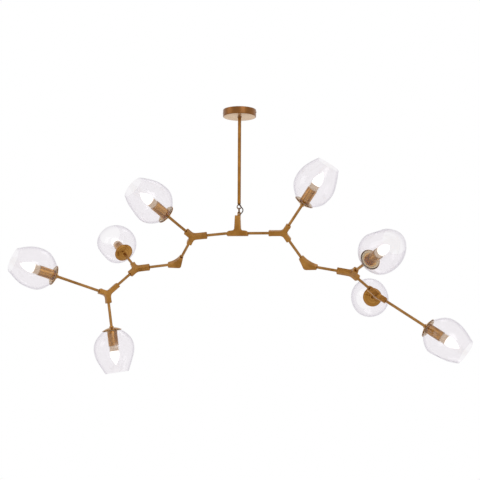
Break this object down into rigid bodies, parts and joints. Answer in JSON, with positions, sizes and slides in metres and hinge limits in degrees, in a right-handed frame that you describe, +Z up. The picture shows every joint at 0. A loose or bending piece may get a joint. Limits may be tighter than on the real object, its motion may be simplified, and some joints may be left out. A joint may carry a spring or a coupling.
{
  "type": "branch chandelier",
  "caption": "Asymmetric branching brass chandelier on a stem and ring joint, with swivelling forked hubs and open blown glass shades.",
  "frame": {"origin": "in the ceiling plane, midway between the slots of the mounting bracket, on the stem axis", "axes": "+Z up into the ceiling; X along the bar of the centre hub, +X to the right in the picture; -Y towards the viewer"},
  "size_m": [1.5867, 0.6488, 0.9589],
  "materials": {
    "brass": "satin",
    "steel": "satin",
    "clear_glass": "gloss",
    "opal": "satin",
    "ceramic": "satin",
    "white_plastic": "satin",
    "lead_sleeve": "satin"
  },
  "bodies": {
    "ceiling": {"mounting_bracket": "steel", "canopy": "brass", "canopy_fixings": "steel", "terminal_block": "white_plastic", "stem": "brass", "stem_eye": "brass", "jumper_lead": "lead_sleeve"},
    "link": {"link_ring": "brass"},
    "centre": {"centre_hub": "brass", "inner_rods": "brass"},
    "left_inner": {"left_inner_hub": "brass", "left_branch_rod": "brass", "light_1_rod": "brass", "light_1_holder": "brass", "light_1_socket": "ceramic", "light_1_shade": "clear_glass", "light_1_bulb": "opal"},
    "left_elbow": {"left_elbow": "brass", "left_elbow_rod": "brass"},
    "left_outer": {"left_outer_hub": "brass", "left_fork_rod": "brass", "light_2_rod": "brass", "light_2_holder": "brass", "light_2_socket": "ceramic", "light_2_shade": "clear_glass", "light_2_bulb": "opal"},
    "left_end": {"left_end_hub": "brass", "left_end_rods": "brass", "left_end_sockets": "ceramic", "light_3_holder": "brass", "light_3_shade": "clear_glass", "light_3_bulb": "opal", "light_4_holder": "brass", "light_4_shade": "clear_glass", "light_4_bulb": "opal"},
    "right_inner": {"right_inner_hub": "brass", "right_branch_rod": "brass", "light_5_rod": "brass", "light_5_holder": "brass", "light_5_socket": "ceramic", "light_5_shade": "clear_glass", "light_5_bulb": "opal"},
    "right_elbow": {"right_elbow": "brass", "right_elbow_rod": "brass"},
    "right_outer": {"right_outer_hub": "brass", "right_fork_rod": "brass", "light_6_rod": "brass", "light_6_holder": "brass", "light_6_socket": "ceramic", "light_6_shade": "clear_glass", "light_6_bulb": "opal"},
    "right_end": {"right_end_hub": "brass", "right_end_rods": "brass", "right_end_sockets": "ceramic", "light_7_holder": "brass", "light_7_shade": "clear_glass", "light_7_bulb": "opal", "light_8_holder": "brass", "light_8_shade": "clear_glass", "light_8_bulb": "opal"}
  },
  "joints": [
    {"name": "link_swing", "type": "hinge", "parent": "ceiling", "child": "link", "pos_m": [0, 0, -0.35975], "axis": [1, 0, 0], "range_deg": [-20, 20], "deforming": ["jumper_lead"]},
    {"name": "centre_swing", "type": "hinge", "parent": "link", "child": "centre", "pos_m": [0, 0, -0.37485], "axis": [0, 1, 0], "range_deg": [-20, 20], "deforming": ["jumper_lead"]},
    {"name": "left_inner_hub_turn", "type": "hinge", "parent": "centre", "child": "left_inner", "pos_m": [-0.1142, -0.009, -0.45492], "axis": [-0.9959, 0, -0.0906], "range_deg": [-45, 45]},
    {"name": "left_elbow_turn", "type": "hinge", "parent": "left_inner", "child": "left_elbow", "pos_m": [-0.22048, 0.05298, -0.52904], "axis": [-0.4953, 0.5793, -0.6474], "range_deg": [-45, 45]},
    {"name": "left_outer_hub_turn", "type": "hinge", "parent": "left_elbow", "child": "left_outer", "pos_m": [-0.34886, 0.08213, -0.56616], "axis": [-0.9915, 0.0646, -0.1133], "range_deg": [-45, 45]},
    {"name": "left_end_hub_turn", "type": "hinge", "parent": "left_outer", "child": "left_end", "pos_m": [-0.45408, 0.02719, -0.6336], "axis": [-0.5244, -0.5869, -0.6169], "range_deg": [-45, 45]},
    {"name": "right_inner_hub_turn", "type": "hinge", "parent": "centre", "child": "right_inner", "pos_m": [0.1075, -0.009, -0.44835], "axis": [1, 0, 0], "range_deg": [-45, 45]},
    {"name": "right_elbow_turn", "type": "hinge", "parent": "right_inner", "child": "right_elbow", "pos_m": [0.22006, 0.02225, -0.53192], "axis": [0.5519, 0.292, -0.7811], "range_deg": [-45, 45]},
    {"name": "right_outer_hub_turn", "type": "hinge", "parent": "right_elbow", "child": "right_outer", "pos_m": [0.34715, 0.00924, -0.58077], "axis": [0.9604, -0.2182, -0.1734], "range_deg": [-45, 45]},
    {"name": "right_end_hub_turn", "type": "hinge", "parent": "right_outer", "child": "right_end", "pos_m": [0.45999, 0.05692, -0.64105], "axis": [0.6177, 0.5965, -0.5125], "range_deg": [-45, 45]}
  ]
}
